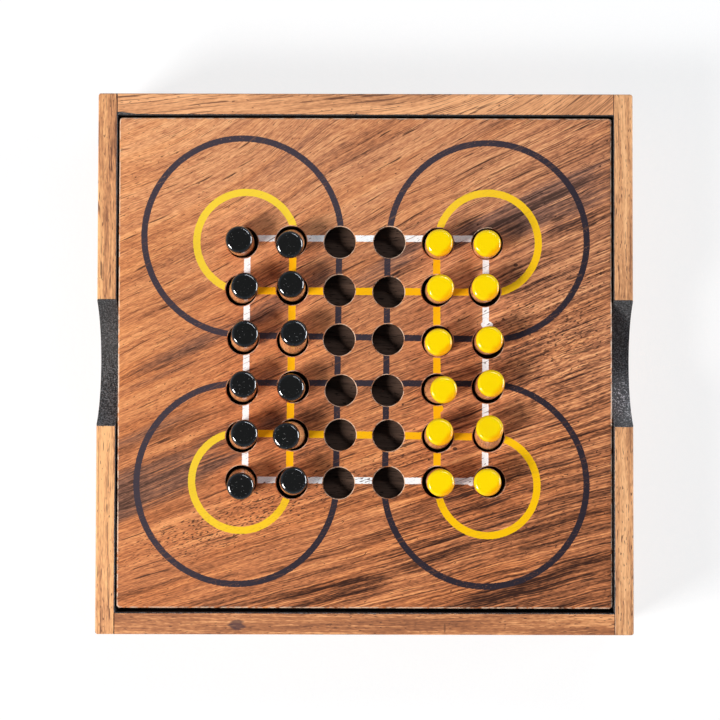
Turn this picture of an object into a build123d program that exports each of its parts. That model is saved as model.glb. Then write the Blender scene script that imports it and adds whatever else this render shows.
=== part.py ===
from build123d import *
import math
import os

# Wooden loop-capture peg game in its own box: a four-walled tray that stores the pegs, and a
# drilled playing board that lies in the tray as its lid. All sizes are in millimetres.
# +X is right, +Y is the back, +Z is up, and the origin is the middle of the underside.

# Tray
box_width = 180.0
box_depth = 181.6
box_height = 38.0
side_wall = 6.5
end_wall = 7.3
wall_corner_round = 0.9
wall_arris = 0.6

# Floor panel, held in a pocket cut round the foot of the walls
floor_thickness = 4.0
floor_rebate = 3.0
floor_arris = 0.4

# Finger scoops in the side walls
scoop_length = 42.3
scoop_depth = 11.5

# Cleats that carry the board
cleat_width = 5.0
cleat_height = 8.0
cleat_chamfer = 2.0

# Playing board: a drilled panel glued on a dark backing, which lies loose in the tray a
# little nearer to its back wall
board_side_gap = 0.55
board_end_gap = 1.12
board_shift = 0.3
board_below_rim = 0.6
panel_thickness = 7.0
backing_thickness = 3.0
board_corner = 1.2
board_arris = 0.7
backing_arris = 0.4

# Pegs: dowels with a rounded top and an eased foot, loose in their holes
peg_diameter = 9.1
peg_length = 17.0
peg_top_round = 1.1
peg_foot_chamfer = 0.4
peg_play = 0.08

# Peg holes
hole_count = 6
hole_clearance = 1.5
hole_pitch_x = 16.5
hole_pitch_y = 16.1
hole_chamfer = 0.3

# The holes are drilled by hand: how far columns and rows stray from an even grid, and how
# far single holes stray from their row and column, by (row, column) from the back left
column_slips = (0.0, 0.2, -0.1, -0.3, -0.3, 0.0)
row_slips = (0.0, 0.0, -0.6, -0.8, -0.5, 0.0)
hole_slips = {
    (1, 2): (-0.4, 0.3),
    (1, 3): (-0.2, 0.1),
    (1, 4): (0.2, 0.1),
    (1, 5): (0.0, -0.2),
    (1, 6): (-0.2, -0.3),
    (2, 1): (-0.4, 0.0),
    (2, 2): (0.0, 0.3),
    (2, 3): (-0.3, 0.0),
    (2, 4): (0.0, -0.6),
    (2, 5): (-0.3, 0.0),
    (2, 6): (-1.0, -0.1),
    (3, 1): (0.3, 0.3),
    (3, 2): (0.2, -0.3),
    (3, 3): (-0.3, 0.0),
    (3, 4): (-0.2, 0.2),
    (3, 5): (-0.1, -0.4),
    (3, 6): (0.1, -0.9),
    (4, 1): (0.0, -0.3),
    (4, 2): (0.5, 0.5),
    (4, 3): (0.3, -0.7),
    (4, 4): (-0.4, -0.6),
    (4, 5): (-0.3, -0.3),
    (4, 6): (-0.1, 0.4),
    (5, 1): (-0.1, -0.4),
    (5, 2): (0.3, 0.2),
    (5, 3): (0.1, 0.2),
    (5, 5): (0.0, -0.3),
    (5, 6): (0.2, -0.1),
    (6, 1): (-0.2, 0.3),
    (6, 2): (0.1, -0.3),
    (6, 3): (-0.4, -0.3),
    (6, 4): (0.0, -0.1),
    (6, 5): (0.0, 0.1),
    (6, 6): (0.6, 0.2),
}

# Each loose peg stands in its hole as (row, column, lean, heading). Lean is 0 for a peg that
# stands upright against the hole's side and 1 for the furthest that the hole lets it tip.
# Heading is the compass angle in degrees that it goes towards, from +X round to +Y.
black_stands = (
    (1, 1, 0.0, 178),
    (1, 2, 0.65, -95),
    (2, 1, 0.6, 23),
    (2, 2, 0.2, 97),
    (3, 1, 0.55, 49),
    (3, 2, 0.85, 69),
    (4, 1, 0.55, 58),
    (4, 2, 0.0, -147),
    (5, 1, 0.6, 38),
    (5, 2, 0.6, -169),
    (6, 1, 0.4, -76),
    (6, 2, 0.4, 52),
)
yellow_stands = (
    (1, 5, 0.0, -75),
    (1, 6, 0.15, -125),
    (2, 5, 0.1, 17),
    (2, 6, 0.0, 124),
    (3, 5, 0.0, -86),
    (3, 6, 0.0, 102),
    (4, 5, 0.65, -6),
    (4, 6, 0.35, 66),
    (5, 5, 0.5, 82),
    (5, 6, 0.98, 95),
    (6, 5, 0.0, 5),
    (6, 6, 0.35, 175),
)

# Sizes and heights that follow from those above
inner_width = box_width - 2 * side_wall
inner_depth = box_depth - 2 * end_wall
floor_width = inner_width + 2 * floor_rebate
floor_depth = inner_depth + 2 * floor_rebate
board_width = inner_width - 2 * board_side_gap
board_depth = inner_depth - 2 * board_end_gap
panel_top = box_height - board_below_rim
panel_bottom = panel_top - panel_thickness
backing_bottom = panel_bottom - backing_thickness
cleat_bottom = backing_bottom - cleat_height
scoop_radius = (scoop_length**2 / 4 + scoop_depth**2) / (2 * scoop_depth)
scoop_centre_height = box_height - scoop_depth + scoop_radius
peg_radius = peg_diameter / 2
hole_radius = (peg_diameter + hole_clearance) / 2


def hole_centre(row, column):
    """The centre of one peg hole on the board, counted from the back left corner."""
    middle = (hole_count + 1) / 2
    slip_x, slip_y = hole_slips.get((row, column), (0.0, 0.0))
    x = (column - middle) * hole_pitch_x + column_slips[column - 1] + slip_x
    y = (middle - row) * hole_pitch_y + row_slips[row - 1] + slip_y + board_shift
    return x, y


def side_room(tilt):
    """How far past the hole's axis a peg tipped by this many radians can cross the mouth."""
    return hole_radius - peg_radius / math.cos(tilt) - peg_play


def foot_height(tilt):
    """How high the middle of a tipped peg's foot is, when its edge rests on the backing."""
    return (peg_radius - peg_foot_chamfer) * math.sin(tilt)


def furthest_tilt():
    """The tilt in radians at which a peg touches its hole at the mouth and at the foot."""
    halvings = 40
    low, high = 0.0, math.radians(45)
    for _ in range(halvings):
        tilt = (low + high) / 2
        foot_room = hole_radius - peg_radius * math.cos(tilt) - peg_play
        drift = (panel_thickness - foot_height(tilt)) * math.tan(tilt)
        if drift < side_room(tilt) + foot_room:
            low = tilt
        else:
            high = tilt
    return low


def make_side_wall(name, side):
    """A side wall, which runs the full depth. side is -1 for the left and 1 for the right."""
    outward = Axis((0, 0, 0), (side, 0, 0))
    wall_middle = side * (box_width - side_wall) / 2
    with BuildPart() as wall:
        with BuildSketch(Plane.XY):
            with Locations((wall_middle, 0)):
                Rectangle(side_wall, box_depth)
        extrude(amount=box_height)
        fillet(wall.edges().filter_by(Axis.Z).sort_by(outward)[-2:], radius=wall_corner_round)
        fillet(wall.faces().sort_by(Axis.Z)[-1].edges(), radius=wall_arris)
        with BuildSketch(Plane.XY):
            Rectangle(floor_width, floor_depth)
        extrude(amount=floor_thickness, mode=Mode.SUBTRACT)
        with BuildSketch(Plane.YZ.offset(wall_middle)):
            with Locations((0, scoop_centre_height)):
                Circle(scoop_radius)
        extrude(amount=side_wall, both=True, mode=Mode.SUBTRACT)
    wall.part.label = name
    return wall.part


def make_end_wall(name, side):
    """An end wall between the side walls. side is -1 for the front and 1 for the back."""
    with BuildPart() as wall:
        with BuildSketch(Plane.XY):
            with Locations((0, side * (box_depth - end_wall) / 2)):
                Rectangle(inner_width, end_wall)
        extrude(amount=box_height)
        fillet(wall.faces().sort_by(Axis.Z)[-1].edges().filter_by(Axis.X), radius=wall_arris)
        with BuildSketch(Plane.XY):
            Rectangle(floor_width, floor_depth)
        extrude(amount=floor_thickness, mode=Mode.SUBTRACT)
    wall.part.label = name
    return wall.part


def make_cleat(name, side):
    """A strip along an end wall that the board rests on, with its lower inner edge cut off."""
    outward = Axis((0, 0, 0), (0, side, 0))
    with BuildPart() as cleat:
        with BuildSketch(Plane.XY.offset(cleat_bottom)):
            with Locations((0, side * (inner_depth - cleat_width) / 2)):
                Rectangle(inner_width, cleat_width)
        extrude(amount=cleat_height)
        lower_edges = cleat.faces().sort_by(Axis.Z)[0].edges().filter_by(Axis.X)
        chamfer(lower_edges.sort_by(outward)[0], length=cleat_chamfer)
    cleat.part.label = name
    return cleat.part


def make_peg(name, row, column, lean, heading):
    """One loose peg, standing in its hole as its row of the stands says."""
    tilt = lean * furthest_tilt()
    turn = math.radians(heading)
    hole_x, hole_y = hole_centre(row, column)
    foot = foot_height(tilt)
    foot_drift = side_room(tilt) - (panel_thickness - foot) * math.tan(tilt)
    foot_middle = Vector(
        hole_x + foot_drift * math.cos(turn),
        hole_y + foot_drift * math.sin(turn),
        panel_bottom + foot,
    )
    across = Vector(-math.sin(turn), math.cos(turn), 0)
    upward = Vector(
        math.sin(tilt) * math.cos(turn),
        math.sin(tilt) * math.sin(turn),
        math.cos(tilt),
    )
    with BuildPart() as peg:
        with BuildSketch(Plane(origin=foot_middle, x_dir=across, z_dir=upward)):
            Circle(peg_radius)
        extrude(amount=peg_length)
        rims = peg.edges().filter_by(GeomType.CIRCLE).sort_by(Axis.Z)
        fillet(rims[-1], radius=peg_top_round)
        chamfer(rims[0], length=peg_foot_chamfer)
    peg.part.label = name
    return peg.part


# Floor panel
with BuildPart() as floor_panel:
    with BuildSketch(Plane.XY):
        Rectangle(floor_width, floor_depth)
    extrude(amount=floor_thickness)
    chamfer(floor_panel.faces().sort_by(Axis.Z)[0].edges(), length=floor_arris)
floor_panel.part.label = "floor_panel"

# Drilled panel of the playing board
with BuildPart() as board_panel:
    with BuildSketch(Plane.XY.offset(panel_bottom)):
        with Locations((0, board_shift)):
            RectangleRounded(board_width, board_depth, board_corner)
    extrude(amount=panel_thickness)
    fillet(board_panel.faces().sort_by(Axis.Z)[-1].edges(), radius=board_arris)
    for hole_row in range(1, hole_count + 1):
        for hole_column in range(1, hole_count + 1):
            centre_x, centre_y = hole_centre(hole_row, hole_column)
            with Locations((centre_x, centre_y, panel_top)):
                Hole(hole_radius)
    mouths = board_panel.edges().filter_by(GeomType.CIRCLE).group_by(Axis.Z)[-1]
    chamfer(mouths.filter_by(lambda mouth: mouth.radius > hole_radius / 2), length=hole_chamfer)
board_panel.part.label = "board_panel"

# Backing of the playing board, which is the bottom of every peg hole
with BuildPart() as board_backing:
    with BuildSketch(Plane.XY.offset(backing_bottom)):
        with Locations((0, board_shift)):
            RectangleRounded(board_width, board_depth, board_corner)
    extrude(amount=backing_thickness)
    fillet(board_backing.faces().sort_by(Axis.Z)[0].edges(), radius=backing_arris)
board_backing.part.label = "board_backing"

pieces = [
    make_side_wall("wall_left", -1),
    make_side_wall("wall_right", 1),
    make_end_wall("wall_front", -1),
    make_end_wall("wall_back", 1),
    floor_panel.part,
    make_cleat("cleat_front", -1),
    make_cleat("cleat_back", 1),
    board_panel.part,
    board_backing.part,
]
for number, stand in enumerate(black_stands, start=1):
    pieces.append(make_peg(f"black_peg_{number:02d}", *stand))
for number, stand in enumerate(yellow_stands, start=1):
    pieces.append(make_peg(f"yellow_peg_{number:02d}", *stand))

os.makedirs("parts", exist_ok=True)
for piece in pieces:
    export_step(piece, f"parts/{piece.label}.step")
print(len(pieces), "pieces; a peg tips by up to", round(math.degrees(furthest_tilt()), 1), "degrees")
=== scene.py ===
"""Looks of a loop-capture peg game in its box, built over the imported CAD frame.

Four hardwood walls stand round a floor panel. The drilled board lies in them as a lid, and
twenty-four dipped pegs stand in its holes. Sizes inside the finishes are in millimetres, in the
frame's own axes, and Blender objects are in metres.
"""

import logging
import math
import random
from collections.abc import Sequence
from dataclasses import dataclass, field
from enum import Enum

import bmesh
import bpy
import numpy
from mathutils import Matrix, Vector


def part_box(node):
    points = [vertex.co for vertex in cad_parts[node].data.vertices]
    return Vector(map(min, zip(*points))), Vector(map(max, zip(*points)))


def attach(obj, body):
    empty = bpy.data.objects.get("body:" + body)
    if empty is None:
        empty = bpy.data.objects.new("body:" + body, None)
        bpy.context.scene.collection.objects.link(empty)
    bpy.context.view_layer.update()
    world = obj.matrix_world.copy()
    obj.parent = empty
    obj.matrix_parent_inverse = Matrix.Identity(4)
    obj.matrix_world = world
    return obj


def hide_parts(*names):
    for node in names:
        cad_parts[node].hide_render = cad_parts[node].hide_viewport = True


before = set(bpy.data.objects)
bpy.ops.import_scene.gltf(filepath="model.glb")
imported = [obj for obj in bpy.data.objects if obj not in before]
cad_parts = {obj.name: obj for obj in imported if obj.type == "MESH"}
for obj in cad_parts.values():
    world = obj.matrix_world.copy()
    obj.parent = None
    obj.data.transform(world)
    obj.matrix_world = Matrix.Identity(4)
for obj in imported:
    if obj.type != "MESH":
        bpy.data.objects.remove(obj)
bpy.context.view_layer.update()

log = logging.getLogger("peg_game")

MILLIMETRE = 0.001
# Half the width of the soft edge of paint and print, in millimetres
SOFT_EDGE = 0.06
# Specular levels of oiled and of matt wood
OILED_SHINE = 0.35
MATT_SHINE = 0.15
Colour = tuple[float, float, float, float]
Stop = tuple[float, Colour]
Pair = tuple[float, float]
Point = tuple[float, float, float]
Socket = bpy.types.NodeSocket
Setting = object


def tone(red: int, green: int, blue: int) -> Colour:
    """Turns a colour as seen on a screen into the linear colour that shaders take.

    Args:
        red: Red from 0 to 255.
        green: Green from 0 to 255.
        blue: Blue from 0 to 255.

    Returns:
        Linear red, green and blue, and an alpha of 1.
    """

    def linear(level: int) -> float:
        """One channel, by the sRGB curve."""
        share = level / 255
        if share <= 0.04045:
            return share / 12.92
        return ((share + 0.055) / 1.055) ** 2.4

    return linear(red), linear(green), linear(blue), 1.0


class Number:
    """A number socket in a node tree, whose arithmetic adds Math nodes."""

    def __init__(self, shader: "Shader", socket: Socket) -> None:
        """Wraps an output socket of a node in shader's tree."""
        self.shader = shader
        self.socket = socket

    def math(self, operation: str, *others: "Number | float") -> "Number":
        """Adds one Math node that has this number as its first value."""
        return self.shader.math(operation, self, *others)

    def __add__(self, other: "Number | float") -> "Number":
        """Sum."""
        return self.math("ADD", other)

    def __radd__(self, other: float) -> "Number":
        """Sum with the number on the right."""
        return self.shader.math("ADD", other, self)

    def __sub__(self, other: "Number | float") -> "Number":
        """Difference."""
        return self.math("SUBTRACT", other)

    def __rsub__(self, other: float) -> "Number":
        """Difference with the number on the right."""
        return self.shader.math("SUBTRACT", other, self)

    def __mul__(self, other: "Number | float") -> "Number":
        """Product."""
        return self.math("MULTIPLY", other)

    def __rmul__(self, other: float) -> "Number":
        """Product with the number on the right."""
        return self.shader.math("MULTIPLY", other, self)

    def __truediv__(self, other: "Number | float") -> "Number":
        """Quotient."""
        return self.math("DIVIDE", other)

    def __rtruediv__(self, other: float) -> "Number":
        """Quotient with the number on the right."""
        return self.shader.math("DIVIDE", other, self)

    def __abs__(self) -> "Number":
        """Size without its sign."""
        return self.math("ABSOLUTE")

    def step(self, low: float, high: float) -> "Number":
        """Rises smoothly from 0 at low to 1 at high, or falls where low is the larger.

        Args:
            low: The value that gives 0.
            high: The value that gives 1.

        Returns:
            The smooth step.
        """
        start, end, ends = (low, high, (0.0, 1.0)) if low < high else (high, low, (1.0, 0.0))
        node = self.shader.add(
            "ShaderNodeMapRange",
            {"interpolation_type": "SMOOTHSTEP"},
            {0: self, 1: start, 2: end, 3: ends[0], 4: ends[1]},
        )
        return Number(self.shader, node.outputs[0])


class Shader:
    """A node tree, of a material or of the room, with the calls that its look is written in."""

    def __init__(self, owner: bpy.types.Material | bpy.types.World) -> None:
        """Empties the owner's node tree."""
        owner.use_nodes = True
        self.owner = owner
        self.tree = owner.node_tree
        self.tree.nodes.clear()

    def add(
        self,
        kind: str,
        settings: dict[str, Setting] | None = None,
        inputs: dict[int | str, Setting] | None = None,
    ) -> bpy.types.Node:
        """Adds any node: its settings first, and then the values or links of its sockets.

        Args:
            kind: The node's type.
            settings: The node's own properties. stops are the places and colours of a ramp.
            inputs: What goes into each socket, by its name or number: a value, a wrapped number
                or another node's socket.

        Returns:
            The node.
        """
        node = self.tree.nodes.new(kind)
        for key, value in (settings or {}).items():
            if key == "stops":
                self._set_stops(node.color_ramp, value)
            else:
                setattr(node, key, value)
        for key, value in (inputs or {}).items():
            if isinstance(value, Number):
                value = value.socket
            if isinstance(value, Socket):
                self.tree.links.new(value, node.inputs[key])
            else:
                node.inputs[key].default_value = value
        return node

    def _set_stops(self, ramp: bpy.types.ColorRamp, stops: Sequence[Stop]) -> None:
        """Gives a ramp exactly these places and colours."""
        while len(ramp.elements) < len(stops):
            ramp.elements.new(1.0)
        for element, (place, colour) in zip(ramp.elements, stops):
            element.position = place
            element.color = colour

    def math(self, operation: str, *values: Number | float, clamp: bool = False) -> Number:
        """Adds one Math node.

        Args:
            operation: The Math node's operation.
            values: The node's values.
            clamp: Whether the result is held between 0 and 1.

        Returns:
            The node's result.
        """
        settings = {"operation": operation, "use_clamp": clamp}
        node = self.add("ShaderNodeMath", settings, dict(enumerate(values)))
        return Number(self, node.outputs[0])

    def vector_math(
        self, operation: str, *vectors: Setting, scale: Setting = None
    ) -> bpy.types.Node:
        """Adds one Vector Math node.

        Args:
            operation: The node's operation.
            vectors: The node's vectors, as points or sockets.
            scale: The node's scale, where the operation takes one.

        Returns:
            The node.
        """
        inputs = dict(enumerate(vectors))
        if scale is not None:
            inputs["Scale"] = scale
        return self.add("ShaderNodeVectorMath", {"operation": operation}, inputs)

    def split(self, vector: Socket) -> tuple[Number, Number, Number]:
        """The three numbers of a vector."""
        node = self.add("ShaderNodeSeparateXYZ", None, {0: vector})
        return tuple(Number(self, socket) for socket in node.outputs)

    def join(self, x: Setting, y: Setting, z: Setting) -> Socket:
        """A vector of three numbers."""
        return self.add("ShaderNodeCombineXYZ", None, {0: x, 1: y, 2: z}).outputs[0]

    def ramp(self, factor: Number, stops: Sequence[Stop]) -> Socket:
        """A colour picked from stops by factor."""
        return self.add("ShaderNodeValToRGB", {"stops": stops}, {0: factor}).outputs[0]

    def mix(self, factor: Setting, first: Setting, second: Setting) -> Socket:
        """A colour between first, at factor 0, and second, at factor 1."""
        settings = {"data_type": "RGBA", "clamp_factor": True}
        return self.add("ShaderNodeMix", settings, {0: factor, 6: first, 7: second}).outputs[2]

    def tint(self, factor: Setting, colour: Setting, by: Setting) -> Socket:
        """A colour multiplied by another, as far as factor says."""
        settings = {"data_type": "RGBA", "blend_type": "MULTIPLY", "clamp_factor": True}
        return self.add("ShaderNodeMix", settings, {0: factor, 6: colour, 7: by}).outputs[2]


class MaterialTree(Shader):
    """The tree of one material, which holds the point being shaded.

    The point is kept as one vector and as x, y and z, in millimetres in the piece's own axes.
    """

    def __init__(self, name: str) -> None:
        """Starts an empty material of that name."""
        super().__init__(bpy.data.materials.new(name))
        coordinates = self.add("ShaderNodeTexCoord")
        scaled = self.vector_math("SCALE", coordinates.outputs["Object"], scale=1 / MILLIMETRE)
        self.point = scaled.outputs[0]
        self.x, self.y, self.z = self.split(self.point)

    def own(self) -> Number:
        """A number from 0 to 1 that each object has for itself."""
        return Number(self, self.add("ShaderNodeObjectInfo").outputs["Random"])

    def noise(
        self,
        stretch: Point | float,
        detail: float,
        rough: float,
        shift: float,
        at: Socket | None = None,
    ) -> Number:
        """Cloudy noise, from 0 to 1 and about 0.5 on average.

        Args:
            stretch: How many features there are in a millimetre, along each axis or along all.
            detail: How many finer layers are added.
            rough: How strong the finer layers are.
            shift: Moves it to another, unlike part of the pattern.
            at: Where it is read, if not at the point being shaded.

        Returns:
            The noise.
        """
        if isinstance(stretch, float):
            stretch = (stretch, stretch, stretch)
        moved = self.vector_math(
            "MULTIPLY_ADD", at or self.point, stretch, (shift, -shift, 0.7 * shift)
        )
        node = self.add(
            "ShaderNodeTexNoise",
            None,
            {"Vector": moved.outputs[0], "Scale": 1.0, "Detail": detail, "Roughness": rough},
        )
        return Number(self, node.outputs["Fac"])

    def spot(self, centre: Pair, size: Pair, at: Socket | None = None) -> Number:
        """A soft ellipse, seen along the third axis.

        Args:
            centre: Middle of the ellipse.
            size: Half its length and half its width.
            at: Where it is read, if not at the point being shaded.

        Returns:
            1 in the middle, falling to 0 at the edge.
        """
        shrink = (1 / size[0], 1 / size[1], 0.0)
        shift = (-centre[0] / size[0], -centre[1] / size[1], 0.0)
        local = self.vector_math("MULTIPLY_ADD", at or self.point, shrink, shift).outputs[0]
        square = self.vector_math("DOT_PRODUCT", local, local).outputs["Value"]
        return self.math("SUBTRACT", 1.0, Number(self, square), clamp=True)

    def bump(self, height: Number, depth: float) -> Socket:
        """A normal bent by height, whose range of 1 stands for depth in millimetres."""
        inputs = {"Height": height, "Distance": depth * MILLIMETRE, "Strength": 1.0}
        return self.add("ShaderNodeBump", None, inputs).outputs[0]

    def finish(
        self,
        colour: Setting,
        roughness: Setting,
        normal: Socket | None = None,
        **constants: float,
    ) -> bpy.types.Material:
        """Ends the tree in one Principled surface.

        Args:
            colour: The base colour.
            roughness: The roughness.
            normal: The bent normal, if there is one.
            constants: Values for other sockets, with _ for a space in a socket's name.

        Returns:
            The finished material.
        """
        inputs = {"Base Color": colour, "Roughness": roughness}
        if normal is not None:
            inputs["Normal"] = normal
        for name, value in constants.items():
            inputs[name.replace("_", " ")] = value
        surface = self.add("ShaderNodeBsdfPrincipled", None, inputs)
        self.add("ShaderNodeOutputMaterial", None, {"Surface": surface.outputs[0]})
        return self.owner


class Run(Enum):
    """Which way the grain of a straight-grained piece runs."""

    DEPTH = "y"
    WIDTH = "x"


@dataclass(frozen=True)
class Pores:
    """The open pores of a hardwood, small dark pits that are a little longer along the grain.

    Attributes:
        length: How many pits fit in a millimetre along the grain.
        width: How many fit in a millimetre across it.
        least: The noise level above which a pore opens. A lower level gives more pores.
    """

    length: float
    width: float
    least: float


@dataclass(frozen=True)
class Dashes:
    """Thin dark lines along the grain, broken into dashes.

    Attributes:
        reach: How many bends a line has in a millimetre.
        spacing: How many lines lie side by side in a millimetre.
        thickness: How thick a line is, against its spacing.
        length: How many breaks a line has in a millimetre.
        least: The noise level above which a line shows. A lower level gives longer dashes.
    """

    reach: float
    spacing: float
    thickness: float
    length: float
    least: float


# The colour inside the pores and dashes of the walls
WALL_PORE = tone(96, 58, 40)


@dataclass(frozen=True)
class Hardwood:
    """The tones and figure of one board of the box.

    Attributes:
        name: The material's name.
        run: Which way the grain runs.
        pale: The palest early wood.
        warm: The usual colour.
        brown: The darker late wood.
        pores: The pores.
        dashes: The dark dashes.
        seed: Picks this board's own part of the noise.
        slope: How far the grain climbs across the board for each millimetre along it.
        curl: How fast that climb grows beyond curl_from.
        curl_from: Where along the board the climb starts to grow, in millimetres.
        base: How dark the board is at its middle, from 0 to 1.
        darkening: How much darker it gets for each millimetre along it.
        bands: How strong the broad bands are.
        silver: How strong the pale flecks are.
    """

    name: str
    run: Run
    pale: Colour
    warm: Colour
    brown: Colour
    pores: Pores
    dashes: Dashes
    seed: float
    slope: float = 0.0
    curl: float = 0.0
    curl_from: float = 0.0
    base: float = 0.42
    darkening: float = 0.0
    bands: float = 1.0
    silver: float = 0.0


@dataclass(frozen=True)
class Sizes:
    """Sizes of the box and board that the finishes follow, in millimetres.

    Attributes:
        inner_width: Room between the side walls.
        inner_depth: Room between the end walls.
        board_top: Height of the board's upper face.
        scoop_radius: Radius of the finger scoops.
        scoop_centre: Height of the scoops' axis.
    """

    inner_width: float
    inner_depth: float
    board_top: float
    scoop_radius: float
    scoop_centre: float

    @classmethod
    def from_frame(cls) -> "Sizes":
        """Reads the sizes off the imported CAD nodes."""
        _, left_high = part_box("wall_left")
        right_low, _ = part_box("wall_right")
        _, front_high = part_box("wall_front")
        back_low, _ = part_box("wall_back")
        _, panel_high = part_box("board_panel")
        half_length, lowest = cls._scoop_reach(left_high.z)
        depth = left_high.z - lowest
        radius = (half_length**2 + depth**2) / (2 * depth)
        values = (
            right_low.x - left_high.x,
            back_low.y - front_high.y,
            panel_high.z,
            radius,
            lowest + radius,
        )
        return cls(*(value / MILLIMETRE for value in values))

    @staticmethod
    def _scoop_reach(rim: float) -> Pair:
        """Half the scoop's length at the rim, and the height of its lowest point, in metres."""
        points = [vertex.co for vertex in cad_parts["wall_left"].data.vertices]
        end = max(abs(point.y) for point in points)
        inside = [point for point in points if point.z > rim / 2 and abs(point.y) < end / 2]
        return max(abs(point.y) for point in inside), min(point.z for point in inside)


class WoodGrain:
    """Bands, streaks, fibres, flecks, pores and dashes of a hardwood, read along given axes."""

    def __init__(self, shader: MaterialTree, along: Number, across: Number, deep: Number) -> None:
        """Keeps the axes of the grain.

        Args:
            shader: The material's tree.
            along: Distance along the grain, in millimetres.
            across: Distance across it on the face.
            deep: Distance across it into the wood.
        """
        self.shader = shader
        self.vector = shader.join(along, across, deep)

    def layer(
        self, along: float, across: float, detail: float, rough: float, shift: float
    ) -> Number:
        """Noise that is stretched along the grain.

        Args:
            along: Features in a millimetre along the grain.
            across: Features in a millimetre across it.
            detail: How many finer layers are added.
            rough: How strong the finer layers are.
            shift: Picks another part of the noise.

        Returns:
            The noise, less its mean.
        """
        stretch = (along, across, across)
        return self.shader.noise(stretch, detail, rough, shift, self.vector) - 0.5

    def bands(self, seed: float) -> Number:
        """Broad bands, a few millimetres wide and as long as the board."""
        return self.layer(0.010, 0.22, 2.0, 0.5, seed + 3.1)

    def streaks(self, seed: float) -> Number:
        """Streaks one or two millimetres wide and a few centimetres long."""
        return self.layer(0.022, 0.60, 3.0, 0.66, seed + 11.7)

    def fibres(self, seed: float) -> Number:
        """Fibres half a millimetre wide."""
        return self.layer(0.075, 1.9, 2.0, 0.7, seed + 23.9)

    def threads(self, seed: float) -> Number:
        """Long thin lines a third of a millimetre wide."""
        return self.layer(0.03, 2.8, 1.0, 0.6, seed + 29.1)

    def flecks(self, seed: float) -> Number:
        """Short flecks of half a millimetre by two."""
        return self.layer(0.5, 2.2, 1.0, 0.6, seed + 27.3)

    def pores(self, kind: Pores, seed: float, more: Number | float = 0.0) -> Number:
        """Open pores.

        Args:
            kind: Their size and number.
            seed: Picks another part of the noise.
            more: Raises the number of pores where it is above 0.

        Returns:
            1 inside a pore and 0 outside.
        """
        pits = self.layer(kind.length, kind.width, 0.0, 0.5, seed + 31.3) + 0.5
        lines = self.layer(0.02, 0.9, 1.0, 0.5, seed + 41.9)
        level = pits + lines * 0.3 + more
        return level.step(kind.least, kind.least + 0.06)

    def dashes(self, kind: Dashes, seed: float, more: Number | float = 0.0) -> Number:
        """Thin broken lines.

        Args:
            kind: Their size and number.
            seed: Picks another part of the noise.
            more: Raises their number where it is above 0.

        Returns:
            1 on a dash and 0 off it.
        """
        level = abs(self.layer(kind.reach, kind.spacing, 0.0, 0.5, seed + 53.7))
        line = level.step(kind.thickness, kind.thickness * 0.3)
        shown = self.layer(kind.length, 0.9, 1.0, 0.5, seed + 61.1) + 0.5 + more
        return line * shown.step(kind.least, kind.least + 0.08)


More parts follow.
